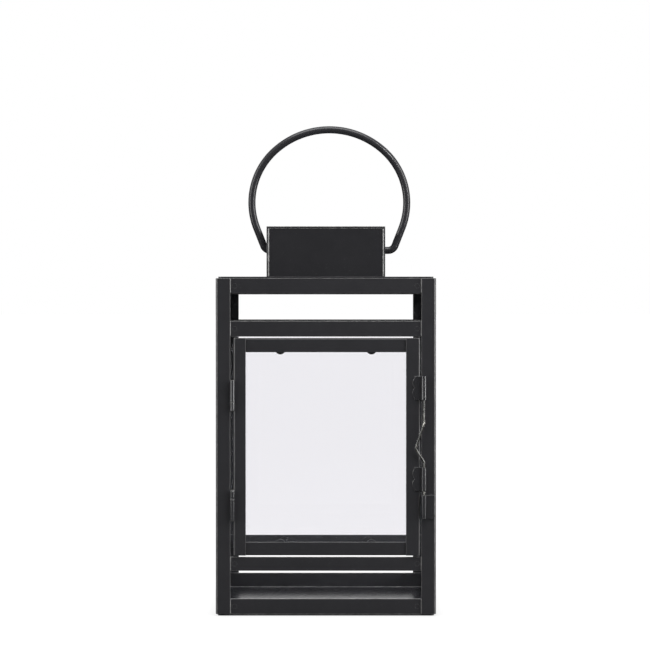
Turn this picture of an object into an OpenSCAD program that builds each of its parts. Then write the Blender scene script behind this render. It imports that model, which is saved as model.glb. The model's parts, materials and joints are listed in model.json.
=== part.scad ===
// Square metal-and-glass lantern with a hinged door, a sliding door bolt, a ring handle and a
// solar light module hidden in the box head. +Z is up, the door faces -Y, and the origin is the
// centre of the base plate's underside.

/* [Body] */
// Outside width of the body, left to right
body_w = 140; // [136:1:160]
// Outside depth of the body, front to back
body_d = 140; // [136:1:160]
// Height of the body, from the base's underside to the roof's top face
body_h = 215.5; // [212:0.5:240]
// Thickness of the sheet that the posts, rails and plates are made of
sheet_t = 1; // [0.9:0.05:1.1]
// Visible width of each flange of the corner posts
post_w = 9.3; // [9:0.1:11]
// Outside bend radius of the corner posts
post_bend_r = 1.5; // [1.3:0.1:2]
// How far the roof plate's edge stays inside the posts' outer faces
roof_inset = 1.6; // [1:0.1:2]
// How far the base plate's edge stays inside the posts' outer faces
base_inset = 1.2; // [1:0.1:2]

/* [Rails] */
// Height of the top rails, just under the roof
top_rail_h = 9.7; // [8:0.1:12]
// Height above the ground of the upper rails' lower edge
upper_rail_z = 177.4; // [176:0.2:182]
// Height of the upper rails
upper_rail_h = 10; // [9:0.1:12]
// Height above the ground of the lower rails' lower edge
lower_rail_z = 28.5; // [24:0.1:34]
// Height of the lower rails
lower_rail_h = 8.9; // [8:0.1:10]
// Height of the bottom rails above the base plate
bottom_rail_h = 9.8; // [8:0.1:12]

/* [Glass] */
// Thickness of the panes
glass_t = 2; // [1.8:0.1:2.2]
// Width of the round-ended tabs that hold the panes
tab_w = 6.8; // [6:0.1:8]
// Distance of each tab from the middle of its rail
tab_x = 29; // [24:1:34]

/* [Door] */
// Gap between the post and the door on the hinge side
door_gap_hinge = 2; // [1.9:0.05:2.2]
// Gap between the post and the door on the bolt side
door_gap_bolt = 0.8; // [0.75:0.05:1.2]
// Gap between the door and the rails above and below it
door_gap_end = 0.9; // [0.8:0.1:2]
// Width of the door's hinge-side stile
stile_hinge_w = 7.8; // [7:0.1:9]
// Width of the door's bolt-side stile
stile_bolt_w = 9; // [8:0.1:9.5]
// Height of the door's top rail
door_top_rail_h = 9; // [8.5:0.1:10]
// Height of the door's bottom rail
door_bottom_rail_h = 8.5; // [8.4:0.1:10]
// Depth of the door frame, front face to the end of the turned-in edge
door_depth = 8.8; // [8:0.1:9.2]

/* [Hinges] */
// Radius of the rolled hinge knuckles
knuckle_r = 1.5; // [1.4:0.05:1.55]
// Radius of the hinge pins
hinge_pin_r = 0.8; // [0.7:0.05:0.85]
// Length of the knuckles on the post
post_knuckle_h = 13.4; // [10:0.1:16]
// Length of the knuckles on the door
door_knuckle_h = 5.3; // [4:0.1:8]
// Height of the upper hinge's joint between its two knuckles
upper_hinge_z = 135.9; // [120:0.1:145]
// Height of the lower hinge's joint between its two knuckles
lower_hinge_z = 74.3; // [70:0.1:90]

/* [Bolt] */
// Radius of the bolt wire
bolt_r = 0.75; // [0.6:0.05:0.8]
// Outside radius of the rolled sleeves that the bolt runs in
sleeve_r = 1.6; // [1.5:0.05:1.6]
// Length of the two sleeves on the door
sleeve_h = 15.1; // [12:0.1:16]
// Height of the upper sleeve's lower end
upper_sleeve_z = 137.2; // [134:0.1:142]
// Height of the lower sleeve's lower end
lower_sleeve_z = 79.4; // [78:0.1:82]
// Length of the keeper sleeve on the post
keeper_h = 14.9; // [12:0.1:16]
// Sideways reach of the bolt's finger kink
kink_reach = 5.4; // [4:0.1:7]
// How far the finger kink stands forward of the bolt's axis
kink_forward = 1.2; // [0.8:0.1:2]

/* [Head] */
// Outside width and depth of the square box head
head_w = 77; // [76:0.1:84]
// Height of the box head above the roof
head_h = 33; // [32.8:0.1:40]
// Thickness of the head's side plates and top plate
head_side_t = 1.2; // [1:0.1:1.5]
// How far the head's front and back plates sit inside the side plates' edges
head_recess = 0.3; // [0.2:0.05:0.6]
// Width of the square window over the solar panel
window_w = 60; // [54:1:61]

/* [Handle] */
// Radius of the handle wire
wire_r = 2.4; // [2:0.05:2.4]
// Height of the handle's pivot above the roof
pivot_h = 18.3; // [17:0.1:20]
// Half-width of the ring at its widest, to the middle of the wire
ring_half_w = 51.5; // [50:0.1:54]
// Height of the ring's widest point above the pivot
ring_wide_z = 31.8; // [30:0.1:34]
// Height of the ring's top above the pivot, to the middle of the wire
ring_top_z = 80.2; // [79:0.1:84]
// Bend radius of the ring's sides
ring_side_r = 46.5; // [45:0.1:47]
// Bend radius where the ring turns into the head
ring_foot_r = 4.85; // [4:0.05:5.5]
// Distance from the ring's middle to where its feet start to bend
ring_foot_x = 39.15; // [38.8:0.05:39.6]
// How far the ring is shifted to the bolt side of the head's middle
ring_shift = 2.3; // [2:0.1:2.7]

/* [Light module] */
// Outside width and depth of the module's housing
module_w = 62; // [60:0.5:64]
// Wall thickness of the module's housing
module_t = 1.8; // [1.5:0.1:2]
// Width of the module's flange under the roof
flange_w = 74; // [72:0.5:76]
// Base radius of the domed lens over the lamp
lens_r = 10; // [8:0.5:11]
// Travel of the switch slider
switch_travel = 3; // [2:0.5:4]

/* [Hidden] */
$fn = 64;

// Colours
coat = [0.17, 0.17, 0.18];
worn_coat = [0.30, 0.29, 0.28];
pane = [0.86, 0.90, 0.92, 0.30];
plastic = [0.09, 0.09, 0.10];

// The four sides, as quarter turns from the front
FRONT = 0;
RIGHT = 1;
BACK = 2;
LEFT = 3;

// A cut goes this far past the faces that it opens, and loose parts keep this much room
cut = 1;
slack = 0.1;

// How far the steps of a bent wire run into each other, and how much thicker every second one is
wire_lap = 0.15;
wire_swell = 0.02;

// Body
post_z0 = sheet_t;
post_z1 = body_h - sheet_t;
post_inner_x = body_w / 2 - post_w;
plate_corner_r = 2;
tab_t = 0.6;
tab_foot_h = 1.8;
rail_tab_reach = 5.4;
pane_z0 = lower_rail_z + tab_t + tab_foot_h;
pane_z1 = upper_rail_z + upper_rail_h - tab_t - tab_foot_h;
pane_slot = glass_t + slack;

// Door
door_proud = 0.2;
door_y = -body_d / 2 - door_proud;
door_x0 = -post_inner_x + door_gap_hinge;
door_x1 = post_inner_x - door_gap_bolt;
door_z0 = lower_rail_z + lower_rail_h + door_gap_end;
door_z1 = upper_rail_z - door_gap_end;
door_bend_r = 1.2;
door_rail_end = 0.3;
door_rail_depth = 7;
door_tab_show = 1.5;
door_pane_z0 = door_z0 + sheet_t + tab_t + tab_foot_h;
door_pane_z1 = door_z1 - sheet_t - tab_t - tab_foot_h;

// Hinges
leaf_t = 0.6;
hinge_x = door_x0 - leaf_t;
hinge_y = door_y - 1.6;
knuckle_gap = 0.4;
hinge_run = 0.06;
leaf_on_post = 6;
leaf_on_door = 8;
pin_head_r = 1.15;
pin_head_h = 0.4;

// Bolt and its sleeves
bolt_x = post_inner_x + 1.5;
bolt_y = door_y - sleeve_r;
bolt_run = 0.09;
sleeve_plate_t = 0.6;
sleeve_plate_x0 = bolt_x - 5.9;
lobe_r = 4.3;
lobe_reach = 1.4;
keeper_z1 = lower_sleeve_z - 2.6;
keeper_plate_w = 6.7;
bolt_z0 = keeper_z1 + 0.4;
bolt_z1 = upper_sleeve_z + 12.8;
kink_z0 = 98;
kink_tip_z = 106.4;
kink_z1 = 121.9;
kink_bend_r = 1.6;

// Head and handle
roof_z = body_h;
head_z1 = roof_z + head_h;
pivot_z = roof_z + pivot_h;
handle_hole_r = wire_r + 0.7;
handle_end_x = head_w / 2 - 3.9;
washer_r = 4.4;
washer_t = 0.7;
washer_gap = 0.3;

// Light module
seal_t = 0.8;
panel_t = 2;
panel_w = 64;
panel_z1 = head_z1 - head_side_t - seal_t;
housing_z1 = panel_z1 - panel_t;
flange_t = 2.2;
flange_z0 = post_z1 - flange_t;
cover_t = 1.6;
cover_z0 = flange_z0 - cover_t;
cover_w = flange_w - 3;
screw_x = flange_w / 2 - 3.6;
screw_r = 1.2;
lamp_y = -8;
board_z = 217;
board_t = 1.2;
cell_r = 7.2;
cell_len = 50;
cell_y = 18;
cell_z = flange_z0 + cell_r + 1.2;
bay_w = 2 * cell_r + 1.4;
battery_door_w = 56;
battery_door_d = 18;
door_play = 0.25;
switch_x = 22;
knob_w = 3;
knob_d = 2.6;
slot_play = 0.25;
slider_t = 1;
lens_h = 5;
lens_t = 1.2;
led_r = 2.5;

// ---- Shared shapes ----

// A box between two opposite corners
module block(lo, hi) {
    translate(lo) cube(hi - lo);
}

// A rectangle centred on the origin with round corners
module rounded_rect(w, d, r) {
    square([w - 2 * r, d], center = true);
    square([w, d - 2 * r], center = true);
    for (sx = [-1, 1], sy = [-1, 1])
        translate([sx * (w / 2 - r), sy * (d / 2 - r)]) circle(r);
}

// The section of a bent sheet angle, its outer corner at the origin and its flanges along +X and +Y
module angle_section(wx, wy, t, r) {
    translate([r, 0]) square([wx - r, t]);
    translate([0, r]) square([t, wy - r]);
    difference() {
        intersection() {
            translate([r, r]) circle(r);
            square(r);
        }
        translate([r, r]) circle(r - t);
    }
}

// A round wire that starts at the origin along +X and stays in the XZ plane. Each step is a
// straight [length] or a bend [radius, angle], where a positive angle turns towards +Z. Every
// second step is a hair thicker, and the steps between them run a little way into it.
module wire(r, steps, i = 0) {
    if (i < len(steps)) {
        step = steps[i];
        thick = i % 2;
        lap_0 = thick == 0 && i > 0 ? wire_lap : 0;
        lap_1 = thick == 0 && i < len(steps) - 1 ? wire_lap : 0;
        tube_r = r + thick * wire_swell;
        if (len(step) == 1) {
            translate([-lap_0, 0, 0]) rotate([0, 90, 0]) cylinder(r = tube_r, h = lap_0 + step[0] + lap_1);
            translate([step[0], 0, 0]) wire(r, steps, i + 1);
        } else {
            up = sign(step[1]);
            turn_0 = lap_0 / step[0] * 180 / PI;
            turn_1 = lap_1 / step[0] * 180 / PI;
            mirror([0, 0, up > 0 ? 0 : 1])
                translate([0, 0, step[0]])
                    rotate([90, 0, 0]) rotate([0, 0, -90 - turn_0])
                        rotate_extrude(angle = turn_0 + abs(step[1]) + turn_1)
                            translate([step[0], 0]) circle(tube_r);
            translate([0, 0, up * step[0]]) rotate([0, -step[1], 0]) translate([0, 0, -up * step[0]])
                wire(r, steps, i + 1);
        }
    }
}

// ---- Body ----

module plate(inset) {
    rounded_rect(body_w - 2 * inset, body_d - 2 * inset, plate_corner_r);
}

module base_plate() {
    color(coat) linear_extrude(sheet_t) plate(base_inset);
}

module roof_plate() {
    color(coat) translate([0, 0, post_z1]) difference() {
        linear_extrude(sheet_t) plate(roof_inset);
        translate([0, 0, -cut]) linear_extrude(sheet_t + 2 * cut)
            rounded_rect(module_w + 2 * slack, module_w + 2 * slack, 3 + slack);
        at_screws() translate([0, 0, -cut]) cylinder(r = screw_r, h = sheet_t + 2 * cut);
    }
}

// A corner post; sx and sy are -1 or 1 for its side of the body
module post(sx, sy) {
    color(coat) mirror([sx > 0 ? 1 : 0, 0, 0]) mirror([0, sy > 0 ? 1 : 0, 0])
        translate([-body_w / 2, -body_d / 2, post_z0]) linear_extrude(post_z1 - post_z0)
            angle_section(post_w, post_w, sheet_t, post_bend_r);
}

function side_half(side) = (side % 2 == 0 ? body_w : body_d) / 2;
function side_reach(side) = (side % 2 == 0 ? body_d : body_w) / 2;
function rail_half(side) = side_half(side) - (side % 2 == 0 ? post_bend_r : 2 * sheet_t);
function rail_back(side) = -side_reach(side) + 2 * sheet_t;

// A tab that holds a pane's edge. The rail's inner face is Y 0, the pane stands on Z 0 and
// the tab's round end rises to tip_z behind the pane.
module glass_tab(tip_z) {
    back = pane_slot;
    block([-tab_w / 2, 0, -tab_t - tab_foot_h], [tab_w / 2, tab_t, 0]);
    block([-tab_w / 2, 0, -tab_t], [tab_w / 2, back + tab_t, 0]);
    block([-tab_w / 2, back, -tab_t], [tab_w / 2, back + tab_t, tip_z - tab_w / 2]);
    translate([0, back, tip_z - tab_w / 2]) rotate([-90, 0, 0]) cylinder(r = tab_w / 2, h = tab_t);
}

// Two tabs on one rail; up is 1 for a rail under the pane and -1 for one above it
module tab_pair(y, z, tip_z, up) {
    for (x = [-tab_x, tab_x])
        translate([x, y, z]) mirror([0, 0, up > 0 ? 0 : 1]) glass_tab(tip_z);
}

module rail(side, z0, h) {
    color(coat) rotate([0, 0, 90 * side])
        block([-rail_half(side), rail_back(side) - sheet_t, z0], [rail_half(side), rail_back(side), z0 + h]);
}

module bottom_rail(side) {
    rail(side, post_z0, bottom_rail_h);
}

module lower_rail(side) {
    rail(side, lower_rail_z, lower_rail_h);
    if (side != FRONT)
        color(coat) rotate([0, 0, 90 * side]) tab_pair(rail_back(side), pane_z0, rail_tab_reach, 1);
}

module upper_rail(side) {
    rail(side, upper_rail_z, upper_rail_h);
    if (side != FRONT)
        color(coat) rotate([0, 0, 90 * side]) tab_pair(rail_back(side), pane_z1, rail_tab_reach, -1);
}

module top_rail(side) {
    rail(side, post_z1 - top_rail_h, top_rail_h);
}

// A fixed pane behind the rails of one side
module glass(side) {
    half = side_half(side) - 2 * sheet_t - pane_slot - tab_t;
    color(pane) rotate([0, 0, 90 * side])
        block([-half, rail_back(side) + slack / 2, pane_z0],
              [half, rail_back(side) + slack / 2 + glass_t, pane_z1 - slack]);
}

// ---- Door ----

module door_stile_hinge() {
    color(coat) translate([door_x0, door_y, door_z0]) linear_extrude(door_z1 - door_z0)
        angle_section(stile_hinge_w, door_depth, sheet_t, door_bend_r);
}

module door_stile_bolt() {
    color(coat) translate([door_x1, door_y, door_z0]) linear_extrude(door_z1 - door_z0)
        mirror([1, 0]) angle_section(stile_bolt_w, door_depth, sheet_t, door_bend_r);
}

// A door rail: a strip behind the stiles with its outer edge turned in. edge_z is the door's
// end, and up is 1 for the bottom rail and -1 for the top rail.
module door_rail(edge_z, h, up, pane_z) {
    x0 = door_x0 + sheet_t + door_rail_end;
    x1 = door_x1 - sheet_t - door_rail_end;
    y0 = door_y + sheet_t;
    color(coat) {
        translate([0, 0, edge_z]) mirror([0, 0, up > 0 ? 0 : 1])
            translate([x0, y0, 0]) rotate([90, 0, 90]) linear_extrude(x1 - x0)
                angle_section(door_rail_depth, h, sheet_t, door_bend_r);
        tab_pair(y0 + sheet_t, pane_z, h - abs(pane_z - edge_z) + door_tab_show, up);
    }
}

module door_rail_bottom() {
    door_rail(door_z0, door_bottom_rail_h, 1, door_pane_z0);
}

module door_rail_top() {
    door_rail(door_z1, door_top_rail_h, -1, door_pane_z1);
}

module door_glass() {
    y0 = door_y + 2 * sheet_t + slack / 2;
    edge = sheet_t + 2 * door_rail_end;
    color(pane) block([door_x0 + edge, y0, door_pane_z0], [door_x1 - edge, y0 + glass_t, door_pane_z1 - slack]);
}

// ---- Hinges ----

// A leaf rolled round the hinge axis; x0 and x1 are its web's faces and y1 is where the web ends
module rolled_leaf(x0, x1, y1, z0, z1, bore_r) {
    difference() {
        union() {
            translate([hinge_x, hinge_y, z0]) cylinder(r = knuckle_r, h = z1 - z0);
            block([x0, hinge_y, z0], [x1, y1, z1]);
        }
        translate([hinge_x, hinge_y, z0 - cut]) cylinder(r = bore_r, h = z1 - z0 + 2 * cut);
    }
}

// The leaf on the post: through the gap and then along the back of the post's flange
module hinge_leaf_post(z0) {
    z1 = z0 + post_knuckle_h;
    x0 = -post_inner_x + slack;
    y0 = -body_d / 2 + sheet_t;
    color(coat) {
        rolled_leaf(x0, x0 + leaf_t, y0 + leaf_t, z0, z1, hinge_pin_r);
        block([x0 - leaf_on_post, y0, z0], [x0 + leaf_t, y0 + leaf_t, z1]);
    }
}

// The leaf on the door: along the outside of the stile's turned-in edge
module hinge_leaf_door(z0) {
    color(coat) rolled_leaf(door_x0 - leaf_t, door_x0, door_y + leaf_on_door, z0, z0 + door_knuckle_h,
                            hinge_pin_r + hinge_run);
}

module hinge_leaf_post_upper() {
    hinge_leaf_post(upper_hinge_z + knuckle_gap / 2);
}

module hinge_leaf_door_upper() {
    hinge_leaf_door(upper_hinge_z - knuckle_gap / 2 - door_knuckle_h);
}

module hinge_leaf_post_lower() {
    hinge_leaf_post(lower_hinge_z - knuckle_gap / 2 - post_knuckle_h);
}

module hinge_leaf_door_lower() {
    hinge_leaf_door(lower_hinge_z + knuckle_gap / 2);
}

// A pin with a small riveted head at each end
module hinge_pin(z0, z1) {
    translate([hinge_x, hinge_y, z0]) {
        cylinder(r = hinge_pin_r, h = z1 - z0);
        translate([0, 0, -pin_head_h]) cylinder(r = pin_head_r, h = pin_head_h);
        translate([0, 0, z1 - z0]) cylinder(r = pin_head_r, h = pin_head_h);
    }
}

module hinge_pins() {
    half_gap = knuckle_gap / 2;
    color(worn_coat) {
        hinge_pin(upper_hinge_z - half_gap - door_knuckle_h - slack, upper_hinge_z + half_gap + post_knuckle_h);
        hinge_pin(lower_hinge_z - half_gap - post_knuckle_h, lower_hinge_z + half_gap + door_knuckle_h + slack);
    }
}

// ---- Bolt ----

// Cuts the bolt's bore through the children, between two heights
module bored(z0, z1) {
    difference() {
        union() children();
        translate([bolt_x, bolt_y, z0 - cut]) cylinder(r = bolt_r + bolt_run, h = z1 - z0 + 2 * cut);
    }
}

// A sleeve on the door, rolled from a plate with two round lobes
module bolt_sleeve(z0) {
    z1 = z0 + sleeve_h;
    color(coat) bored(z0, z1) {
        translate([bolt_x, bolt_y, z0]) cylinder(r = sleeve_r, h = sleeve_h);
        block([sleeve_plate_x0, door_y - sleeve_plate_t, z0], [bolt_x, door_y, z1]);
        for (share = [0.3, 0.72])
            translate([sleeve_plate_x0 - lobe_reach + lobe_r, door_y, z0 + share * sleeve_h])
                rotate([90, 0, 0]) cylinder(r = lobe_r, h = sleeve_plate_t);
    }
}

module bolt_sleeve_upper() {
    bolt_sleeve(upper_sleeve_z);
}

module bolt_sleeve_lower() {
    bolt_sleeve(lower_sleeve_z);
}

module bolt_keeper() {
    z0 = keeper_z1 - keeper_h;
    color(coat) bored(z0, keeper_z1) {
        translate([bolt_x, bolt_y, z0]) cylinder(r = sleeve_r, h = keeper_h);
        block([bolt_x, door_y - sleeve_plate_t, z0], [bolt_x + keeper_plate_w, -body_d / 2, keeper_z1]);
    }
}

// The bolt is one wire with a V-shaped finger kink between its sleeves
module door_bolt() {
    reach = norm([kink_reach, kink_forward]);
    rise_0 = kink_tip_z - kink_z0;
    rise_1 = kink_z1 - kink_tip_z;
    angle_0 = atan2(reach, rise_0);
    angle_1 = atan2(reach, rise_1);
    trim_0 = kink_bend_r * tan(angle_0 / 2);
    trim_tip = kink_bend_r * tan((angle_0 + angle_1) / 2);
    trim_1 = kink_bend_r * tan(angle_1 / 2);
    color(worn_coat) translate([bolt_x, bolt_y, bolt_z0]) rotate([0, 0, atan2(kink_forward, kink_reach)])
        rotate([0, -90, 0]) wire(bolt_r, [
            [kink_z0 - bolt_z0 - trim_0],
            [kink_bend_r, angle_0],
            [norm([reach, rise_0]) - trim_0 - trim_tip],
            [kink_bend_r, -angle_0 - angle_1],
            [norm([reach, rise_1]) - trim_1 - trim_tip],
            [kink_bend_r, angle_1],
            [bolt_z1 - kink_z1 - trim_1]
        ]);
}

// ---- Head ----

module head_side(sx) {
    x1 = head_w / 2;
    color(coat) mirror([sx > 0 ? 0 : 1, 0, 0]) difference() {
        block([x1 - head_side_t, -x1, roof_z], [x1, x1, head_z1 - head_side_t]);
        translate([x1 - head_side_t - cut, 0, pivot_z]) rotate([0, 90, 0])
            cylinder(r = handle_hole_r, h = head_side_t + 2 * cut);
    }
}

module head_face(sy) {
    half = head_w / 2;
    color(coat) mirror([0, sy > 0 ? 1 : 0, 0])
        block([-half + head_side_t, -half + head_recess, roof_z],
              [half - head_side_t, -half + head_recess + sheet_t, head_z1 - head_side_t]);
}

module head_top() {
    color(coat) translate([0, 0, head_z1 - head_side_t]) difference() {
        linear_extrude(head_side_t) rounded_rect(head_w, head_w, 0.8);
        translate([0, 0, -cut]) linear_extrude(head_side_t + 2 * cut) rounded_rect(window_w, window_w, 2);
    }
}

// ---- Handle ----

// The ring is a flattened circle: a wide arc on top, a tighter arc on each side, straight legs
// that lean inwards, and feet that turn into the head
module handle_ring() {
    side_x = ring_half_w - ring_side_r;
    over = ring_top_z - ring_wide_z;
    top_r = (side_x ^ 2 + over ^ 2 - ring_side_r ^ 2) / (2 * (over - ring_side_r));
    meet = atan2(top_r - over, side_x);
    span = [ring_foot_x - side_x, ring_foot_r - ring_wide_z];
    lean = -atan2(span.y, span.x) - acos((ring_side_r - ring_foot_r) / norm(span));
    leg = sqrt(norm(span) ^ 2 - (ring_side_r - ring_foot_r) ^ 2);
    color(coat) translate([-handle_end_x, 0, pivot_z]) rotate([0, 0, 180]) wire(wire_r, [
        [ring_foot_x - ring_shift - handle_end_x],
        [ring_foot_r, 90 - lean],
        [leg],
        [ring_side_r, lean + meet],
        [top_r, 2 * (90 - meet)],
        [ring_side_r, lean + meet],
        [leg],
        [ring_foot_r, 90 - lean],
        [ring_foot_x + ring_shift - handle_end_x]
    ]);
}

// A push-on washer on each foot, inside the head
module handle_washers() {
    x1 = head_w / 2 - head_side_t - washer_gap;
    color("silver") for (sx = [-1, 1])
        translate([sx * (x1 - washer_t / 2), 0, pivot_z]) rotate([0, 90, 0]) difference() {
            cylinder(r = washer_r, h = washer_t, center = true);
            cylinder(r = wire_r + slack / 2, h = washer_t + 2 * cut, center = true);
        }
}

// ---- Light module ----

module at_screws() {
    for (sx = [-1, 1], sy = [-1, 1])
        translate([sx * screw_x, sy * screw_x, 0]) children();
}

module solar_panel() {
    color([0.06, 0.08, 0.20]) translate([0, 0, panel_z1 - panel_t]) linear_extrude(panel_t)
        rounded_rect(panel_w, panel_w, 1.5);
}

// A rubber frame between the panel and the head's top plate
module panel_seal() {
    color("dimgray") translate([0, 0, panel_z1]) difference() {
        linear_extrude(seal_t) rounded_rect(panel_w, panel_w, 1.5);
        translate([0, 0, -cut]) linear_extrude(seal_t + 2 * cut) rounded_rect(window_w, window_w, 2);
    }
}

// A box open below, with a flange under the roof, a bay for the cell and two posts for the board
module module_housing() {
    inner = module_w - 2 * module_t;
    ceiling = housing_z1 - module_t;
    color(plastic) difference() {
        union() {
            translate([0, 0, flange_z0]) linear_extrude(flange_t) rounded_rect(flange_w, flange_w, 4);
            difference() {
                translate([0, 0, flange_z0]) linear_extrude(housing_z1 - flange_z0)
                    rounded_rect(module_w, module_w, 3);
                block([-inner / 2, -inner / 2, flange_z0 - cut], [inner / 2, inner / 2, ceiling]);
            }
            for (sy = [-1, 1])
                translate([0, cell_y + sy * (bay_w + module_t) / 2, (cell_z + ceiling) / 2])
                    cube([inner, module_t, ceiling - cell_z], center = true);
            for (x = [-18, 18])
                translate([x, lamp_y - 8, board_z + board_t]) cylinder(r = 2, h = ceiling - board_z - board_t);
        }
        block([-inner / 2, -inner / 2, flange_z0 - cut], [inner / 2, inner / 2, flange_z0 + flange_t]);
        at_screws() translate([0, 0, flange_z0 - cut]) cylinder(r = screw_r + 0.15, h = flange_t + 2 * cut);
    }
}

// The plate that closes the module from below, opened for the lens, the switch and the cell
module module_cover() {
    slot_x0 = switch_x - knob_w / 2 - slot_play;
    slot_x1 = switch_x + knob_w / 2 + switch_travel + slot_play;
    slot_d = knob_d + 2 * slot_play;
    color(plastic) translate([0, 0, cover_z0]) difference() {
        linear_extrude(cover_t) rounded_rect(cover_w, cover_w, 4);
        translate([0, lamp_y, -cut]) cylinder(r = lens_r + slack, h = cover_t + 2 * cut);
        block([slot_x0, lamp_y - slot_d / 2, -cut], [slot_x1, lamp_y + slot_d / 2, cover_t + cut]);
        translate([0, cell_y, -cut]) linear_extrude(cover_t + 2 * cut)
            rounded_rect(battery_door_w, battery_door_d, 1.5);
        at_screws() translate([0, 0, -cut]) cylinder(r = screw_r + 0.15, h = cover_t + 2 * cut);
    }
}

module module_screws() {
    head_r = 2.2;
    head_h = 1.3;
    tip_over = 2.2;
    color("silver") at_screws() difference() {
        union() {
            translate([0, 0, cover_z0]) cylinder(r = screw_r, h = roof_z - cover_z0 + tip_over);
            translate([0, 0, cover_z0 - head_h]) cylinder(r1 = head_r - 0.6, r2 = head_r, h = head_h);
        }
        for (turn = [0, 90])
            translate([0, 0, cover_z0 - head_h]) rotate([0, 0, turn])
                cube([2 * head_r - 1.6, 0.5, 1.4], center = true);
    }
}

// The board, with the body of the slide switch under it
module circuit_board() {
    slider_top = flange_z0 + slider_t + slack;
    color("darkgreen") {
        block([-25, lamp_y - 12, board_z], [28, lamp_y + 12, board_z + board_t]);
        block([switch_x - 4, lamp_y - 3, slider_top], [switch_x + 6, lamp_y + 3, board_z]);
    }
}

// The lamp, standing under the board
module led() {
    dome_z = cover_z0 + led_r + 0.6;
    color("khaki") translate([0, lamp_y, dome_z]) {
        cylinder(r = led_r, h = board_z - dome_z);
        sphere(led_r);
    }
}

// A hollow domed lens, held by its rim on the cover's inner face
module led_lens() {
    ball_r = (lens_r ^ 2 + lens_h ^ 2) / (2 * lens_h);
    rim_t = 0.8;
    color([0.95, 0.94, 0.90]) translate([0, lamp_y, cover_z0]) difference() {
        union() {
            cylinder(r = lens_r, h = cover_t);
            translate([0, 0, cover_t]) cylinder(r = lens_r + 1.6, h = rim_t);
            intersection() {
                translate([0, 0, ball_r - lens_h]) sphere(ball_r);
                translate([0, 0, -lens_h - cut]) cylinder(r = lens_r, h = lens_h + cut);
            }
        }
        translate([0, 0, ball_r - lens_h]) sphere(ball_r - lens_t);
        cylinder(r = lens_r - 1.8, h = cover_t + rim_t + cut);
    }
}

module battery_cell() {
    color([0.25, 0.42, 0.30]) translate([-cell_len / 2, cell_y, cell_z]) rotate([0, 90, 0]) {
        cylinder(r = cell_r, h = cell_len - 1.2);
        cylinder(r = 2.7, h = cell_len);
    }
}

// A sprung plate at each end of the cell
module battery_contacts() {
    wall_x = module_w / 2 - module_t;
    spring_h = wall_x - 0.5 - cell_len / 2;
    color("silver") for (sx = [-1, 1])
        translate([sx * (wall_x - 0.25), cell_y, cell_z]) {
            cube([0.5, 10, 10], center = true);
            translate([-sx * (0.25 + spring_h / 2), 0, 0]) rotate([0, 90, 0])
                cylinder(r = 2.4, h = spring_h, center = true);
        }
}

module battery_cover() {
    grip_n = 5;
    color(plastic) translate([0, cell_y, cover_z0]) difference() {
        linear_extrude(cover_t) rounded_rect(battery_door_w - 2 * door_play, battery_door_d - 2 * door_play, 1.3);
        for (i = [0 : grip_n - 1])
            translate([-22 + 2.2 * i, 0, 0]) cube([0.9, 9, 0.8], center = true);
    }
}

// A knob in the cover's slot on a slider plate above it
module switch_slider() {
    knob_h = 1.3;
    color("lightgray") translate([switch_x, lamp_y, 0]) {
        block([-knob_w / 2, -knob_d / 2, cover_z0 - knob_h], [knob_w / 2, knob_d / 2, flange_z0 + slack]);
        block([-3, -2.4, flange_z0 + slack / 2], [3, 2.4, flange_z0 + slider_t]);
    }
}

// ---- Assembly ----

base_plate();
roof_plate();
post(-1, -1);  // post_front_left
post(1, -1);  // post_front_right
post(-1, 1);  // post_back_left
post(1, 1);  // post_back_right
bottom_rail(FRONT);  // bottom_rail_front
bottom_rail(RIGHT);  // bottom_rail_right
bottom_rail(BACK);  // bottom_rail_back
bottom_rail(LEFT);  // bottom_rail_left
lower_rail(FRONT);  // lower_rail_front
lower_rail(RIGHT);  // lower_rail_right
lower_rail(BACK);  // lower_rail_back
lower_rail(LEFT);  // lower_rail_left
upper_rail(FRONT);  // upper_rail_front
upper_rail(RIGHT);  // upper_rail_right
upper_rail(BACK);  // upper_rail_back
upper_rail(LEFT);  // upper_rail_left
top_rail(FRONT);  // top_rail_front
top_rail(RIGHT);  // top_rail_right
top_rail(BACK);  // top_rail_back
top_rail(LEFT);  // top_rail_left
glass(RIGHT);  // glass_right
glass(BACK);  // glass_back
glass(LEFT);  // glass_left
door_stile_hinge();
door_stile_bolt();
door_rail_top();
door_rail_bottom();
door_glass();
hinge_leaf_post_upper();
hinge_leaf_post_lower();
hinge_leaf_door_upper();
hinge_leaf_door_lower();
hinge_pins();
bolt_sleeve_upper();
bolt_sleeve_lower();
bolt_keeper();
door_bolt();
head_face(-1);  // head_front
head_face(1);  // head_back
head_side(-1);  // head_left
head_side(1);  // head_right
head_top();
handle_ring();
handle_washers();
solar_panel();
panel_seal();
module_housing();
module_cover();
module_screws();
circuit_board();
led();
led_lens();
battery_cell();
battery_contacts();
battery_cover();
switch_slider();
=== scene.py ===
import json
import math

import bmesh
import bpy
from mathutils import Matrix, Vector


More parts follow.
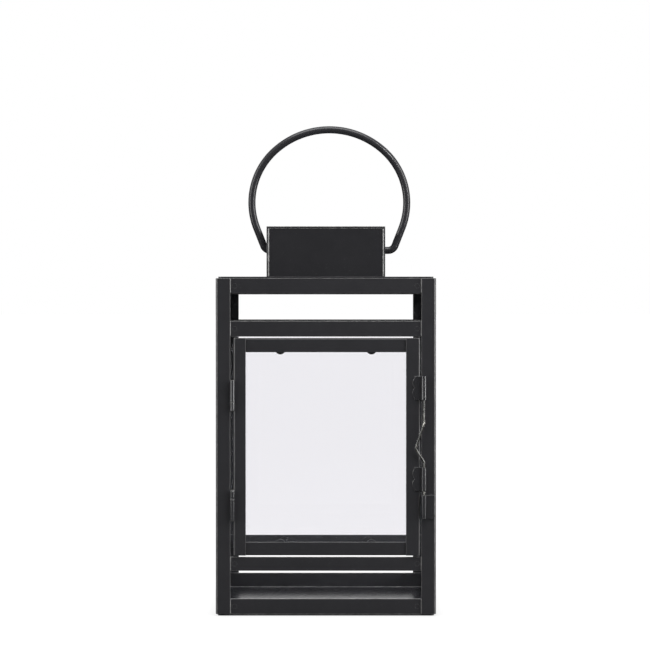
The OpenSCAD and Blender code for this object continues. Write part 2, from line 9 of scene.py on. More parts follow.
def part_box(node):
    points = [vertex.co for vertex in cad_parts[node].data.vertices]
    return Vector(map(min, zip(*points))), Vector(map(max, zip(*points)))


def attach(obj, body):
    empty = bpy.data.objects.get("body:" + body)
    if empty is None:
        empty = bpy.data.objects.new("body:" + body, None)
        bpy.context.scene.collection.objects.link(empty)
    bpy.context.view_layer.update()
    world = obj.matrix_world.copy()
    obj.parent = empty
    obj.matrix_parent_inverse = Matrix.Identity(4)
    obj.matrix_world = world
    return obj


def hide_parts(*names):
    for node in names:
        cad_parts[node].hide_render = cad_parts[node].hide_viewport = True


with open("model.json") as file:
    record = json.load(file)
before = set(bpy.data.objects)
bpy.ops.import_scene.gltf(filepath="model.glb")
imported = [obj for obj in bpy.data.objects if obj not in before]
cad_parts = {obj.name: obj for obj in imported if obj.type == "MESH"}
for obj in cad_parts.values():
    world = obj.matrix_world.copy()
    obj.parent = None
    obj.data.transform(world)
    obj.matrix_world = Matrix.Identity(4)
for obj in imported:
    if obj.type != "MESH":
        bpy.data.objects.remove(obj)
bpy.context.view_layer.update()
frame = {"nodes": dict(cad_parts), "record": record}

MM = 0.001
NOISE_SPAN = (0.3, 0.7)         # where nearly all of a noise's values lie
NARROW_SPAN = (0.35, 0.65)
scene = bpy.context.scene
scene.view_settings.view_transform = "Standard"


# ---------------------------------------------------------------- helpers

class Net:
    """Short calls for building a node tree."""

    def __init__(self, tree):
        self.tree = tree

    def set(self, node, inputs):
        for name, value in inputs.items():
            socket = node.inputs[name]
            if isinstance(value, bpy.types.NodeSocket):
                self.tree.links.new(value, socket)
            else:
                socket.default_value = value

    def add(self, kind, inputs=None, **properties):
        node = self.tree.nodes.new(kind)
        for name, value in properties.items():
            setattr(node, name, value)
        self.set(node, inputs or {})
        return node

    def math(self, operation, a, b=0.0, clamp=False):
        node = self.add("ShaderNodeMath", {0: a, 1: b}, operation=operation, use_clamp=clamp)
        return node.outputs[0]

    def remap(self, value, low, high, to_low, to_high):
        node = self.add("ShaderNodeMapRange", {
            "Value": value, "From Min": low, "From Max": high, "To Min": to_low, "To Max": to_high})
        return node.outputs["Result"]

    def noise(self, place, scale, detail=2.0, roughness=0.5):
        """Noise whose scale is in features a metre."""
        node = self.add("ShaderNodeTexNoise", {
            "Vector": place, "Scale": scale, "Detail": detail, "Roughness": roughness})
        return node.outputs["Fac"]

    def mix_colour(self, share, a, b):
        node = self.add("ShaderNodeMix", data_type="RGBA")
        for index, value in ((0, share), (6, a), (7, b)):
            self.set(node, {index: value})
        return node.outputs[2]

    def bump(self, height, strength, depth, below=None):
        node = self.add("ShaderNodeBump", {"Height": height, "Strength": strength, "Distance": depth})
        if below is not None:
            self.set(node, {"Normal": below})
        return node.outputs["Normal"]


def new_material(name):
    """A material with a plain Principled shader; returns the material, its net and the shader."""
    material = bpy.data.materials.new(name)
    material.use_nodes = True
    net = Net(material.node_tree)
    return material, net, material.node_tree.nodes["Principled BSDF"]


def place_of(net):
    return net.add("ShaderNodeTexCoord").outputs["Object"]


def grey(level):
    return (level, level, level, 1)


# ---------------------------------------------------------------- camera

CAMERA_DISTANCE = 1.42      # from the body's front face
CAMERA_HEIGHT = 0.198
CAMERA_SIDE = -0.0004
CAMERA_PITCH = -0.54        # degrees, a hair below level
CAMERA_LENS = 123.95
CAMERA_SHIFT = (-0.0004, 0.0004)


def make_camera():
    """Straight in front of the door, a little below the roof."""
    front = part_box("post_front_left")[0][1]
    data = bpy.data.cameras.new("camera")
    data.lens = CAMERA_LENS
    data.shift_x, data.shift_y = CAMERA_SHIFT
    data.sensor_width = 36
    data.clip_start = 0.05
    data.clip_end = 50
    camera = bpy.data.objects.new("camera", data)
    camera.location = (CAMERA_SIDE, front - CAMERA_DISTANCE, CAMERA_HEIGHT)
    camera.rotation_euler = (math.radians(90 + CAMERA_PITCH), 0, 0)
    scene.collection.objects.link(camera)
    scene.camera = camera


# ---------------------------------------------------------------- studio

WORLD_FRONT = 0.04
WORLD_SIDE = 0.55
WORLD_FLAG = 0.15       # behind on both sides, where dark screens keep the rims of round parts dark
WORLD_BACK = 1.20       # added in a narrow cone straight behind
WORLD_TOP = 0.26        # added overhead
# Where each of those starts and ends, by how far a direction points backwards, or upwards
FRONT_TO_SIDE = (-0.97, -0.35)
SIDE_TO_FLAG = (0.05, 0.55)
FLAG_TO_BACK = (0.88, 0.97)
LEVEL_TO_TOP = (0.0, 0.9)

MIDDLE = (0, 0, 0.14)
# Name, place, what it points at, size and power in watts
LIGHTS = (
    ("light_right", (1.12, -0.42, 0.30), MIDDLE, (0.30, 1.4), 9.5),
    ("light_left", (-1.12, -0.42, 0.30), MIDDLE, (0.30, 1.4), 6),
    ("light_top", (0.0, -0.45, 1.3), MIDDLE, (1.0, 0.8), 12),
    ("strip_right", (0.95, -0.75, 0.30), MIDDLE, (0.12, 1.2), 5.6),
    ("strip_left", (-0.95, -0.75, 0.30), MIDDLE, (0.12, 1.2), 4.2),
    ("lamp_high", (0.43, -0.58, 0.69), (0.03, 0, 0.25), (0.12, 0.12), 2.2),
)

FLOOR_HALF = 40.0
FLOOR_DROP = 0.2 * MM   # how far the floor lies under the base plate
FLOOR_TONE = 0.015
FLOOR_GLOW = 0.99
FLOOR_SHADE = 0.14      # how much darker the floor's glow gets where something stands on it: a painted contact shadow
FLOOR_REACH = 14 * MM
FLOOR_BOUNCE = 0.06     # how much of its light the floor throws back on the lantern


def seen_directly(net):
    """1 for what is looked at straight or through glass, and 0 for light on its way to a surface."""
    path = net.add("ShaderNodeLightPath").outputs
    straight = net.math("MAXIMUM", path["Is Camera Ray"], path["Is Transmission Ray"])
    bounces = net.math("ADD", path["Diffuse Depth"], path["Glossy Depth"])
    return net.math("MULTIPLY", straight, net.math("LESS_THAN", bounces, 0.5))


def make_world():
    """A pale studio: dim in front, brightest straight behind, and plain white to look at."""
    world = bpy.data.worlds.new("studio")
    scene.world = world
    world.use_nodes = True
    world.node_tree.nodes.clear()
    net = Net(world.node_tree)
    way = net.add("ShaderNodeTexCoord").outputs["Generated"]
    parts = net.add("ShaderNodeSeparateXYZ", {"Vector": way})
    back, up = parts.outputs["Y"], parts.outputs["Z"]
    around = net.math("MINIMUM", net.remap(back, *FRONT_TO_SIDE, WORLD_FRONT, WORLD_SIDE),
                      net.remap(back, *SIDE_TO_FLAG, WORLD_SIDE, WORLD_FLAG))
    behind = net.remap(back, *FLAG_TO_BACK, 0.0, WORLD_BACK)
    above = net.remap(up, *LEVEL_TO_TOP, 0.0, WORLD_TOP)
    light = net.math("ADD", net.math("ADD", around, behind), above)
    studio = net.add("ShaderNodeBackground", {"Color": grey(1.0), "Strength": light})
    plain = net.add("ShaderNodeBackground", {"Color": grey(1.0), "Strength": 1.0})
    mix = net.add("ShaderNodeMixShader", {
        0: seen_directly(net), 1: studio.outputs[0], 2: plain.outputs[0]})
    net.add("ShaderNodeOutputWorld", {"Surface": mix.outputs[0]})


def area_light(name, location, target, size, power):
    data = bpy.data.lights.new(name, "AREA")
    data.shape = "RECTANGLE"
    data.size, data.size_y = size
    data.energy = power
    lamp = bpy.data.objects.new(name, data)
    lamp.location = location
    lamp.rotation_euler = (Vector(target) - Vector(location)).to_track_quat("-Z", "Y").to_euler()
    scene.collection.objects.link(lamp)


def make_floor():
    """A plain white floor, a little darker close to where the lantern stands on it, as a painted contact
    shadow.
    """
    half = FLOOR_HALF
    mesh = bpy.data.meshes.new("floor")
    corners = [(-half, -half, 0), (half, -half, 0), (half, half, 0), (-half, half, 0)]
    mesh.from_pydata(corners, [], [(0, 1, 2, 3)])
    floor = bpy.data.objects.new("floor", mesh)
    floor.location.z = -FLOOR_DROP
    scene.collection.objects.link(floor)
    material, net, shader = new_material("floor_white")
    grain = net.noise(place_of(net), 40, 3)
    open_sky = net.add("ShaderNodeAmbientOcclusion", {"Distance": FLOOR_REACH}, samples=16)
    glow = net.remap(open_sky.outputs["AO"], 0.0, 1.0, FLOOR_GLOW - 2 * FLOOR_SHADE, FLOOR_GLOW)
    net.set(shader, {
        "Base Color": grey(FLOOR_TONE), "Roughness": net.remap(grain, *NOISE_SPAN, 0.75, 0.85),
        "Emission Color": grey(1.0), "Emission Strength": glow})
    dim = net.add("ShaderNodeBsdfDiffuse", {"Color": grey(FLOOR_BOUNCE)})
    mix = net.add("ShaderNodeMixShader", {
        0: seen_directly(net), 1: dim.outputs[0], 2: shader.outputs[0]})
    net.set(material.node_tree.nodes["Material Output"], {"Surface": mix.outputs[0]})
    mesh.materials.append(material)


# ---------------------------------------------------------------- materials

COAT_DARK = (0.0198, 0.0197, 0.0220, 1)
COAT_PALE = (0.0222, 0.0220, 0.0244, 1)
COAT_MOTTLE = (0.029, 0.0288, 0.0318, 1)
# Pale tone of the coat's edges: rubbed wear, and a painted highlight along them
COAT_WORN_AND_HIGHLIGHT = (0.36, 0.357, 0.350, 1)
DUST_TONE = grey(0.16)
COAT_ROUGH = (0.28, 0.31)
GRIT_STRENGTH, GRIT_DEPTH = 0.06, 0.02 * MM
PEEL_STRENGTH, PEEL_DEPTH = 0.12, 0.03 * MM
SKIN_DEPTH = 0.04 * MM          # of the texture on rubber and moulded plastic
DUST_SHARE = 0.25
WORN_AND_HIGHLIGHT_SHARE = 0.75               # of the pale tone, where the edge mark is strongest: rubbed wear and a painted highlight
WORN_POLISH = -0.05             # what rubbing adds to the roughness


def black_coat(name="black_coat", gloss=0.5, polish=0.0, relief=1.0, depth=0.0):
    """Satin black powder coat: fine orange peel, soft mottling, dust, and edges painted paler, partly
    rubbed wear and partly a painted highlight.

    Polish makes it smoother, relief scales its bumps and depth darkens its colour below plain coat as
    painted shade.
    """
    material, net, shader = new_material(name)
    place = place_of(net)
    broad = net.noise(place, 22, 3)
    mottle = net.noise(place, 160, 4, 0.6)
    peel = net.noise(place, 1100, 2, 0.5)
    grit = net.noise(place, 4200, 2, 0.6)
    dust = net.remap(net.noise(place, 1500, 1, 0.4), 0.74, 0.80, 0.0, 1.0)
    edge = net.add("ShaderNodeAttribute", attribute_name="edge").outputs["Fac"]
    rub = net.remap(net.noise(place, 380, 4, 0.7), 0.38, 0.62, 0.45, 1.0)
    rub_and_highlight = net.math("MULTIPLY", edge, rub, clamp=True)
    tone = net.mix_colour(net.remap(broad, *NARROW_SPAN, 0, 1), COAT_DARK, COAT_PALE)
    tone = net.mix_colour(net.remap(mottle, *NOISE_SPAN, 0.0, 0.25), tone, COAT_MOTTLE)
    # Painted shade: depth darkens the colour towards black
    tone = net.mix_colour(depth, tone, grey(0.0))
    tone = net.mix_colour(net.math("MULTIPLY", dust, DUST_SHARE), tone, DUST_TONE)
    # Edges painted paler: rubbed wear, and a painted highlight along the rounded edges
    tone = net.mix_colour(net.math("MULTIPLY", rub_and_highlight, WORN_AND_HIGHLIGHT_SHARE), tone, COAT_WORN_AND_HIGHLIGHT)
    plain_rough = net.remap(mottle, *NOISE_SPAN, *(rough - polish for rough in COAT_ROUGH))
    rough = net.math("ADD", plain_rough, net.math("MULTIPLY", rub_and_highlight, WORN_POLISH))
    normal = net.bump(grit, GRIT_STRENGTH * relief, GRIT_DEPTH)
    normal = net.bump(peel, PEEL_STRENGTH * relief, PEEL_DEPTH, normal)
    net.set(shader, {
        "Base Color": tone, "Roughness": rough, "Normal": normal,
        "IOR": 1.5, "Specular IOR Level": gloss})
    return material


GLASS_TINT = (0.964, 0.959, 0.979, 1)
GLASS_SHADOW = (0.90, 0.92, 0.93, 1)      # what light loses on its way through a pane


def clear_glass():
    """Clear float glass: nearly colourless, with a few faint wipe marks; light passes it freely."""
    material, net, shader = new_material("clear_glass")
    place = place_of(net)
    smear = net.remap(net.noise(place, 30, 5, 0.65), 0.55, 0.75, 0.0, 0.035)
    net.set(shader, {
        "Base Color": GLASS_TINT, "Roughness": smear, "IOR": 1.50,
        "Transmission Weight": 1.0, "Normal": net.bump(net.noise(place, 12, 2), 0.02, 0.1 * MM)})
    output = material.node_tree.nodes["Material Output"]
    open_air = net.add("ShaderNodeBsdfTransparent", {"Color": GLASS_SHADOW})
    shadow = net.add("ShaderNodeLightPath").outputs["Is Shadow Ray"]
    mix = net.add("ShaderNodeMixShader", {0: shadow, 1: shader.outputs[0], 2: open_air.outputs[0]})
    net.set(output, {"Surface": mix.outputs[0]})
    return material


# Height and reach in mm of each rubbed place: under the lower sleeve and where the kink starts
RUBBED_HEIGHTS = ((78.2, 2.0), (121.9, 1.8))
WIRE_DARK = (0.022, 0.022, 0.020, 1)
WIRE_BARE = (0.42, 0.41, 0.38, 1)


def bolt_wire():
    """Steel wire whose dark coat is rubbed through where it slides and where a finger pushes it."""
    material, net, shader = new_material("bolt_wire")
    place = place_of(net)
    height = net.add("ShaderNodeSeparateXYZ", {"Vector": place}).outputs["Z"]
    rubbed = 0.0
    for middle, reach in RUBBED_HEIGHTS:
        off = net.math("ABSOLUTE", net.math("SUBTRACT", height, middle * MM))
        near = net.remap(off, 0.3 * reach * MM, reach * MM, 1.0, 0.0)
        rubbed = net.math("MAXIMUM", rubbed, near)
    scuff = net.remap(net.noise(place, 420, 4, 0.7), 0.46, 0.66, 0.0, 0.3)
    scuff = net.math("ADD", scuff, net.math("MULTIPLY", rubbed, 0.9), clamp=True)
    drawn = net.noise(place, 2600, 2, 0.5)
    net.set(shader, {
        "Base Color": net.mix_colour(scuff, WIRE_DARK, WIRE_BARE),
        "Metallic": net.remap(scuff, 0, 1, 0.05, 0.9), "Specular IOR Level": 0.9,
        "Roughness": net.remap(drawn, *NOISE_SPAN, 0.13, 0.20),
        "Normal": net.bump(drawn, 0.2, GRIT_DEPTH)})
    return material


def plain_steel():
    """Zinc-plated steel with a faint spangle."""
    material, net, shader = new_material("plain_steel")
    place = place_of(net)
    spangle = net.add("ShaderNodeTexVoronoi", {"Vector": place, "Scale": 700.0}).outputs["Color"]
    fine = net.noise(place, 3000, 2)
    tone = net.mix_colour(0.10, (0.56, 0.565, 0.575, 1), spangle)
    net.set(shader, {
        "Base Color": tone, "Metallic": 1.0, "Roughness": net.remap(fine, *NOISE_SPAN, 0.26, 0.40),
        "Normal": net.bump(fine, 0.15, GRIT_DEPTH)})
    return material


def resin_over(net, place):
    """The inputs for the clear resin that covers the panel's face."""
    swirl = net.noise(place, 60, 4)
    return {"Coat Weight": 1.0, "Coat Roughness": net.remap(swirl, *NOISE_SPAN, 0.02, 0.06)}


def solar_cell():
    """Dark blue polycrystalline silicon under clear resin."""
    material, net, shader = new_material("solar_cell")
    place = place_of(net)
    grain = net.add("ShaderNodeTexVoronoi", {"Vector": place, "Scale": 380.0})
    shade = net.add("ShaderNodeSeparateColor", {"Color": grain.outputs["Color"]}).outputs["Red"]
    tone = net.mix_colour(shade, (0.004, 0.008, 0.030, 1), (0.009, 0.019, 0.062, 1))
    net.set(shader, {
        "Base Color": tone, "Metallic": 0.2, "Roughness": net.remap(shade, 0, 1, 0.30, 0.42),
        **resin_over(net, place)})
    return material


def cell_backing():
    """The panel's black backing board between the cells, under the same resin."""
    material, net, shader = new_material("cell_backing")
    place = place_of(net)
    fleck = net.noise(place, 900, 3, 0.6)
    tone = net.mix_colour(fleck, (0.006, 0.006, 0.008, 1), (0.012, 0.012, 0.015, 1))
    net.set(shader, {"Base Color": tone, "Roughness": 0.5, **resin_over(net, place)})
    return material


def seal_rubber():
    """Matte black rubber."""
    material, net, shader = new_material("seal_rubber")
    place = place_of(net)
    skin = net.noise(place, 900, 4, 0.6)
    net.set(shader, {
        "Base Color": net.mix_colour(skin, grey(0.016), grey(0.034)),
        "Roughness": net.remap(skin, *NOISE_SPAN, 0.70, 0.85),
        "Normal": net.bump(skin, 0.3, SKIN_DEPTH)})
    return material


def moulded(name, dark, pale, rough_low, rough_high):
    """Moulded plastic with a fine spark-eroded texture, and edges painted paler: rubbed wear and a
    painted highlight.
    """
    material, net, shader = new_material(name)
    place = place_of(net)
    texture = net.noise(place, 2400, 3, 0.6)
    broad = net.noise(place, 60, 3)
    edge = net.add("ShaderNodeAttribute", attribute_name="edge").outputs["Fac"]
    # Paler edge tone: rubbed wear, and a painted highlight along the edges
    rubbed = tuple(3 * part for part in pale[:3]) + (1,)
    tone = net.mix_colour(net.remap(broad, *NARROW_SPAN, 0, 1), dark, pale)
    tone = net.mix_colour(net.math("MULTIPLY", edge, 0.4), tone, rubbed)
    net.set(shader, {
        "Base Color": tone, "Roughness": net.remap(texture, *NOISE_SPAN, rough_low, rough_high),
        "Normal": net.bump(texture, 0.3, SKIN_DEPTH)})
    return material


def lamp_resin():
    """The lamp's yellow resin."""
    material, net, shader = new_material("lamp_resin")
    place = place_of(net)
    cloud = net.noise(place, 500, 3)
    net.set(shader, {
        "Base Color": net.mix_colour(cloud, (0.85, 0.70, 0.28, 1), (0.92, 0.82, 0.50, 1)),
        "Roughness": net.remap(cloud, *NOISE_SPAN, 0.12, 0.22), "Subsurface Weight": 0.3,
        "Subsurface Scale": 1.5 * MM})
    return material


def lens_plastic():
    """Frosted lens: translucent white with an etched surface."""
    material, net, shader = new_material("lens_plastic")
    place = place_of(net)
    frost = net.noise(place, 1800, 3, 0.6)
    net.set(shader, {
        "Base Color": (0.90, 0.90, 0.87, 1), "Transmission Weight": 0.45, "IOR": 1.46,
        "Roughness": net.remap(frost, *NOISE_SPAN, 0.35, 0.50),
        "Normal": net.bump(frost, 0.3, 0.05 * MM)})
    return material


def bare_silver():
    """Screened silver lines on the solar cells."""
    material, net, shader = new_material("bare_silver")
    fine = net.noise(place_of(net), 2600, 2)
    net.set(shader, {
        "Base Color": net.mix_colour(fine, (0.36, 0.37, 0.40, 1), (0.46, 0.47, 0.50, 1)),
        "Metallic": 0.9, "Roughness": net.remap(fine, *NOISE_SPAN, 0.35, 0.5),
        "Coat Weight": 1.0, "Coat Roughness": 0.06})
    return material


make_camera()
make_world()
for light in LIGHTS:
    area_light(*light)
make_floor()

MATERIALS = {
    "black_coat": black_coat(),
    "ring_coat": black_coat("ring_coat", 0.35, 0.08, 0.25),
    "rolled_coat": black_coat("rolled_coat", 0.9, 0.12),
    "plate_coat": black_coat("plate_coat", 0.5, 0.10),
    # The box head's coat is painted darker, as painted shade
    "head_painted_shade_coat": black_coat("head_painted_shade_coat", 0.25, depth=0.2),
    "bare_silver": bare_silver(),
    "clear_glass": clear_glass(),
    "bolt_wire": bolt_wire(),
    "plain_steel": plain_steel(),
    "solar_cell": solar_cell(),
    "cell_backing": cell_backing(),
    "seal_rubber": seal_rubber(),
    "module_plastic": moulded(
        "module_plastic", (0.012, 0.012, 0.013, 1), (0.020, 0.020, 0.021, 1), 0.45, 0.60),
    "board_green": moulded(
        "board_green", (0.010, 0.070, 0.030, 1), (0.016, 0.095, 0.042, 1), 0.25, 0.40),
    "lamp_resin": lamp_resin(),
    "lens_plastic": lens_plastic(),
    "cell_sleeve": moulded(
        "cell_sleeve", (0.030, 0.110, 0.055, 1), (0.040, 0.140, 0.070, 1), 0.25, 0.35),
    "switch_plastic": moulded(
        "switch_plastic", (0.25, 0.25, 0.26, 1), (0.30, 0.30, 0.31, 1), 0.40, 0.55),
}


# ---------------------------------------------------------------- pieces from the frame

RECORD = frame["record"]
SLOT_OF = {part["node"]: part["material_slot"] for part in RECORD["subparts"]}
BODY_OF = {node: body for body, nodes in RECORD["behaviour"]["bodies"].items() for node in nodes}
LEAF_NODES = ("hinge_leaf", "bolt_sleeve", "bolt_keeper")
LOOKS = {"handle_ring": "ring_coat", "solar_panel": "cell_backing", "base_plate": "plate_coat",
         "head_": "head_painted_shade_coat", **dict.fromkeys(LEAF_NODES, "rolled_coat")}

# How much paler than plain coat each kind of node's edges are painted, rubbed wear and a painted
# highlight, by the start of its name
WEAR_AND_HIGHLIGHT_OF = {"post": 0.5, "door_stile": 0.5, "door_rail": 0.3, "head_left": 0.15, "head_right": 0.15,
           "roof_plate": 0.35, "base_plate": 0.6}
# How much paler the bends of posts and door stiles are painted, as a painted highlight on their rounded
# corners
BEND_HIGHLIGHT_OF = {"post": 0.42, "door_stile": 0.25}
SLEEVE_PLATE = 5.2 * MM     # the lobed part of a sleeve's plate, left of its roll
BOLT_EASE = 0.04 * MM       # the coat rubbed off the bolt, which keeps it off its sleeves' rims
INNER_WEAR_AND_HIGHLIGHT = 0.1            # share of that wear and painted highlight on edges that face inwards
SHARP = math.radians(30)
FLAT = math.radians(0.5)
WELD_GAP = 0.001 * MM
TURNED = 0.1                # how far a normal leans outwards, for its edge to count as outer
BENT = 0.15                 # how far a normal leans off both axes, for its face to be in a bend
EDGE_SEGMENTS = 3


def by_start(values, node, usual):
    """The value in a dictionary for the start of a node's name."""
    return next((value for start, value in values.items() if node.startswith(start)), usual)


def look_of(node):
    """The material that a node wears, where it isn't simply its slot's."""
    return by_start(LOOKS, node, None)


def finish_piece(mesh, name, body, slot, nodes=(), look=None):
    """Makes a mesh into a smooth-shaded piece that rides a body and stands in for some nodes."""
    piece = bpy.data.objects.new(name, mesh)
    scene.collection.objects.link(piece)
    mesh.materials.clear()
    mesh.materials.append(MATERIALS[look or slot])
    for face in mesh.polygons:
        face.use_smooth = True
        face.material_index = 0
    even = piece.modifiers.new("even_normals", "WEIGHTED_NORMAL")
    even.weight = 100
    even.keep_sharp = True
    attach(piece, body)
    if nodes:
        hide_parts(*nodes)
    return piece


def faces_out(vert):
    """Whether a vertex's normal points outwards on its own side of the lantern."""
    axis = 1 if abs(vert.co.y) > abs(vert.co.x) else 0
    return vert.normal[axis] * math.copysign(1, vert.co[axis]) > TURNED


def mark_wear_and_highlight(shape, node, rounded):
    """Stores on each vertex of a node's shape how much paler its coat is painted: rubbed wear and a
    painted highlight at rounded edges, and a painted highlight in bends.
    """
    mark = shape.verts.layers.float.new("edge")
    shape.normal_update()
    wear_and_highlight, bend_highlight = by_start(WEAR_AND_HIGHLIGHT_OF, node, 1.0), by_start(BEND_HIGHLIGHT_OF, node, 0.0)
    inner_wear_and_highlight = wear_and_highlight if node.startswith(LEAF_NODES) else wear_and_highlight * INNER_WEAR_AND_HIGHLIGHT
    for vert in shape.verts:
        around = vert.link_faces
        if around and all(face in rounded for face in around):
            vert[mark] = wear_and_highlight if faces_out(vert) else inner_wear_and_highlight
        elif min(abs(vert.normal.x), abs(vert.normal.y)) > BENT:
            vert[mark] = bend_highlight


def soften(node, width):
    """Stands in for a CAD node with the same shape, its sharp edges rounded and marked for wear and a
    painted highlight.

    On a bolt's sleeve only the lobed plate is rounded, and the roll's ends stay sharp.
    """
    source = frame["nodes"][node]
    shape = bmesh.new()
    shape.from_mesh(source.data)
    bmesh.ops.remove_doubles(shape, verts=shape.verts, dist=WELD_GAP)
    bmesh.ops.dissolve_limit(shape, angle_limit=FLAT, verts=shape.verts, edges=shape.edges)
    if node == "door_bolt":
        shape.normal_update()
        for vert in shape.verts:
            vert.co -= vert.normal * BOLT_EASE
    sharp = [edge for edge in shape.edges
             if len(edge.link_faces) == 2 and edge.calc_face_angle(0) > SHARP]
    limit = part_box(node)[0][0] + SLEEVE_PLATE if node.startswith("bolt_sleeve") else math.inf
    rounding = [edge for edge in sharp if max(vert.co.x for vert in edge.verts) < limit]
    for edge in set(sharp).difference(rounding):
        edge.smooth = False
    made = bmesh.ops.bevel(
        shape, geom=rounding, offset=width, offset_type="OFFSET", segments=EDGE_SEGMENTS,
        profile=0.5, affect="EDGES", clamp_overlap=True)
    mark_wear_and_highlight(shape, node, set(made["faces"]))
    mesh = bpy.data.meshes.new("soft_" + node)
    shape.to_mesh(mesh)
    shape.free()
    return finish_piece(mesh, node + "_piece", BODY_OF[node], SLOT_OF[node], (node,), look_of(node))


SHEET_EDGE = 0.30 * MM
LEAF_EDGE = 0.25 * MM
SMALL_EDGE = 0.15 * MM
GLASS_EDGE = 0.25 * MM
FINE_NODES = ("hinge_pins", "door_bolt", "screws", "switch", "led", "battery_contacts", "washers",
              "seal", "top_rail")


def edge_width(node):
    """How far a node's sharp edges are rounded."""
    if SLOT_OF[node] == "clear_glass":
        return GLASS_EDGE
    if node.startswith(LEAF_NODES):
        return LEAF_EDGE
    return SMALL_EDGE if any(word in node for word in FINE_NODES) else SHEET_EDGE


for node in frame["nodes"]:
    soften(node, edge_width(node))


# ---------------------------------------------------------------- small pieces that the CAD leaves out

def add_box(shape, low, high):
    """Adds a closed box between two corners to a bmesh."""
    corners = [shape.verts.new((x, y, z)) for z in (low[2], high[2]) for y in (low[1], high[1])
               for x in (low[0], high[0])]
    for loop in ((0, 2, 3, 1), (4, 5, 7, 6), (0, 1, 5, 4), (2, 6, 7, 3), (0, 4, 6, 2), (1, 3, 7, 5)):
        shape.faces.new([corners[index] for index in loop])


def add_rings(shape, rings, closed=False):
    """Skins a row of equal rings of points; a closed row meets itself and an open one gets caps."""
    rows = [[shape.verts.new(point) for point in ring] for ring in rings]
    count = len(rows[0])
    for index in range(len(rows) if closed else len(rows) - 1):
        here, there = rows[index], rows[(index + 1) % len(rows)]
        for k in range(count):
            shape.faces.new((here[k], here[(k + 1) % count], there[(k + 1) % count], there[k]))
    if not closed:
        shape.faces.new(list(reversed(rows[0])))
        shape.faces.new(rows[-1])


def circle(count, radius):
    """Evenly spaced points round a circle about the origin."""
    return [(radius * math.cos(2 * math.pi * k / count), radius * math.sin(2 * math.pi * k / count))
            for k in range(count)]


def small_piece(shape, name, body, slot, look=None, wear_and_highlight=0.0):
    """Turns a bmesh into a piece whose edge mark, rubbed wear and painted highlight, is the same all
    over.
    """
    bmesh.ops.recalc_face_normals(shape, faces=shape.faces)
    mark = shape.verts.layers.float.new("edge")
    for vert in shape.verts:
        vert[mark] = wear_and_highlight
    mesh = bpy.data.meshes.new(name)
    shape.to_mesh(mesh)
    shape.free()
    return finish_piece(mesh, name, body, slot, look=look)


BEAD_R = 0.48 * MM
BEAD_STEP = 0.8 * MM
BEAD_SIDES = 10
# Paler tone of the head's weld beads: ground weld, and a painted highlight along the seams
BEAD_WEAR_AND_HIGHLIGHT = 1.0
# How much each bead's thickness wavers, as a share of it, and how fast, in radians a step
QUICK_WAVER = (0.10, 1.7)
SLOW_WAVER = (0.06, 0.61)
JOINT_WAVER = (0.12, 1.9)
CORNERS = ((-1, -1), (1, -1), (-1, 1), (1, 1))


def waver(step, start, share, pace):
    """How much thicker than usual a bead is at a step along it."""
    return share * math.sin(pace * step + start)


def head_beads():
    """A thin weld bead down each corner seam of the box head, where side plates meet face plates."""
    side_low, side_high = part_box("head_right")
    face_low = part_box("head_front")[0]
    seam_x = side_low[0]
    seam_y = -face_low[1]
    bottom, top = face_low[2] + BEAD_R, side_high[2] - BEAD_R
    steps = round((top - bottom) / BEAD_STEP)
    shape = bmesh.new()
    for sx, sy in CORNERS:
        rings = []
        for step in range(steps + 1):
            swell = 1 + waver(step, sx, *QUICK_WAVER) + waver(step, sy, *SLOW_WAVER)
            z = bottom + (top - bottom) * step / steps
            rings.append([(sx * seam_x + x, sy * seam_y + y, z)
                          for x, y in circle(BEAD_SIDES, BEAD_R * swell)])
        add_rings(shape, rings)
    small_piece(shape, "head_weld_beads", "frame", "black_coat", wear_and_highlight=BEAD_WEAR_AND_HIGHLIGHT)


JOINT_R = 0.34 * MM
# Paler tone of the rail joints and the base seam: ground weld, and a painted highlight along them
JOINT_WEAR_AND_HIGHLIGHT = 1.0
SEAM_WEAR_AND_HIGHLIGHT = 0.5
LEVELS = ("bottom", "lower", "upper", "top")


def joint_beads():
    """A thin line of weld where each end of each rail meets the edge of a post's flange."""
    post_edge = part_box("post_front_left")[1][0]
    shape = bmesh.new()
    for level in LEVELS:
        low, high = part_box(level + "_rail_front")
        bottom, top = low[2] + JOINT_R, high[2] - JOINT_R
        steps = round((top - bottom) / BEAD_STEP)
        for quarter in range(4):
            turn = Matrix.Rotation(math.radians(90 * quarter), 3, "Z")
            for sx in (-1, 1):
                rings = []
                for step in range(steps + 1):
                    swell = 1 + waver(step, quarter + sx, *JOINT_WAVER)
                    z = bottom + (top - bottom) * step / steps
                    rings.append([turn @ Vector((sx * post_edge + x, low[1] + y, z))
                                  for x, y in circle(BEAD_SIDES, JOINT_R * swell)])
                add_rings(shape, rings)
    small_piece(shape, "rail_joint_beads", "frame", "black_coat", wear_and_highlight=JOINT_WEAR_AND_HIGHLIGHT)


def base_seam():
    """The sealed seam round the base plate, inside the bottom rails."""
    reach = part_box("bottom_rail_back")[0][1]
    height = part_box("base_plate")[1][2]
    corners = [(reach, reach), (-reach, reach), (-reach, -reach), (reach, -reach)]
    rings = []
    for x, y in corners:
        outward = Vector((math.copysign(1, x), math.copysign(1, y), 0))
        rings.append([Vector((x, y, height)) + outward * a + Vector((0, 0, b))
                      for a, b in circle(BEAD_SIDES, JOINT_R)])
    shape = bmesh.new()
    add_rings(shape, rings, closed=True)
    small_piece(shape, "base_seam", "frame", "black_coat", wear_and_highlight=SEAM_WEAR_AND_HIGHLIGHT)


SPOT_R = 1.5 * MM
SPOT_WIRE = 0.08 * MM
SPOT_SIDES = 24
SPOT_WIRE_SIDES = 6
SPOT_OFF_POST = 2.7 * MM
# Paler tone of the spot-weld rings: weld mark, and a faint painted highlight
SPOT_WEAR_AND_HIGHLIGHT = 0.1


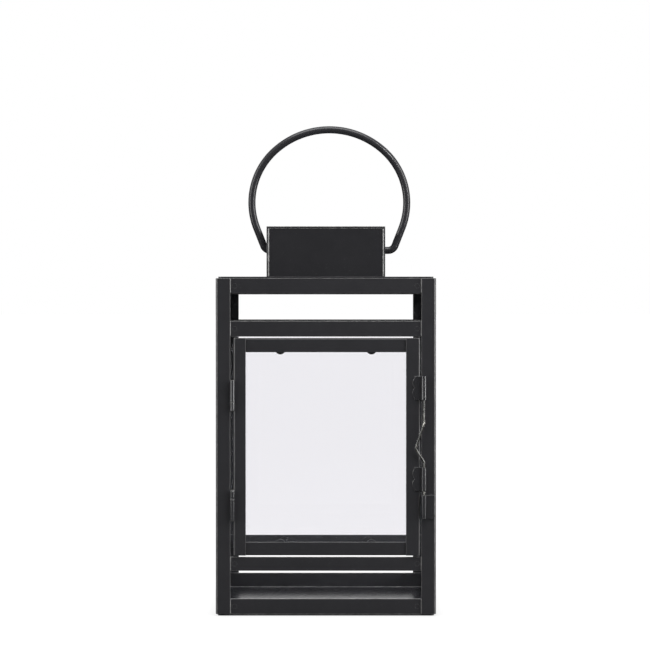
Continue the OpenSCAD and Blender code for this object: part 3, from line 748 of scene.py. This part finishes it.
def spot_welds():
    """The faint ring that a spot weld leaves near each end of each rail."""
    post_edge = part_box("post_front_left")[1][0]
    shape = bmesh.new()
    for level in LEVELS:
        low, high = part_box(level + "_rail_front")
        height = (low[2] + high[2]) / 2
        for quarter in range(4):
            turn = Matrix.Rotation(math.radians(90 * quarter), 3, "Z")
            for sx in (-1, 1):
                middle = Vector((sx * (post_edge + SPOT_OFF_POST), low[1], height))
                rings = []
                for x, z in circle(SPOT_SIDES, 1.0):
                    outward = Vector((x, 0, z))
                    rings.append([turn @ (middle + outward * (SPOT_R + a) + Vector((0, b, 0)))
                                  for a, b in circle(SPOT_WIRE_SIDES, SPOT_WIRE)])
                add_rings(shape, rings, closed=True)
    small_piece(shape, "rail_spot_welds", "frame", "black_coat", wear_and_highlight=SPOT_WEAR_AND_HIGHLIGHT)


CELL_STRIPS = 5
CELL_GAP = 0.8 * MM
CELL_MARGIN = 3.6 * MM      # from the panel's edge, of which the seal covers 2 mm
CELL_RISE = 0.06 * MM
BUSBAR_RISE = 1.6 * CELL_RISE
FINGER_RISE = 1.3 * CELL_RISE
RIBBON_RISE = 2 * CELL_RISE
BUSBAR_W = 1.3 * MM
FINGER_W = 0.16 * MM
FINGER_PITCH = 2.1 * MM


def panel_cells():
    """Strips of solar cell in the panel's face, with busbars, fingers and ribbons between them."""
    low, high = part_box("solar_panel")
    x0, y0 = low[0] + CELL_MARGIN, low[1] + CELL_MARGIN
    x1, y1 = high[0] - CELL_MARGIN, high[1] - CELL_MARGIN
    face = high[2]
    pitch = (x1 - x0 + CELL_GAP) / CELL_STRIPS
    cells, lines = bmesh.new(), bmesh.new()
    for strip in range(CELL_STRIPS):
        left = x0 + strip * pitch
        right = left + pitch - CELL_GAP
        middle = (left + right) / 2
        add_box(cells, (left, y0, face - CELL_RISE), (right, y1, face + CELL_RISE))
        add_box(lines, (middle - BUSBAR_W / 2, y0, face),
                (middle + BUSBAR_W / 2, y1, face + BUSBAR_RISE))
        for row in range(1, round((y1 - y0) / FINGER_PITCH)):
            y = y0 + row * FINGER_PITCH
            add_box(lines, (left + FINGER_PITCH / 4, y - FINGER_W / 2, face),
                    (right - FINGER_PITCH / 4, y + FINGER_W / 2, face + FINGER_RISE))
        if strip < CELL_STRIPS - 1:
            y = y0 + BUSBAR_W if strip % 2 else y1 - BUSBAR_W
            add_box(lines, (middle, y - BUSBAR_W / 2, face),
                    (middle + pitch, y + BUSBAR_W / 2, face + RIBBON_RISE))
    small_piece(cells, "solar_cells", "frame", "solar_cell")
    small_piece(lines, "solar_cell_lines", "frame", "solar_cell", look="bare_silver")


head_beads()
joint_beads()
base_seam()
spot_welds()
panel_cells()
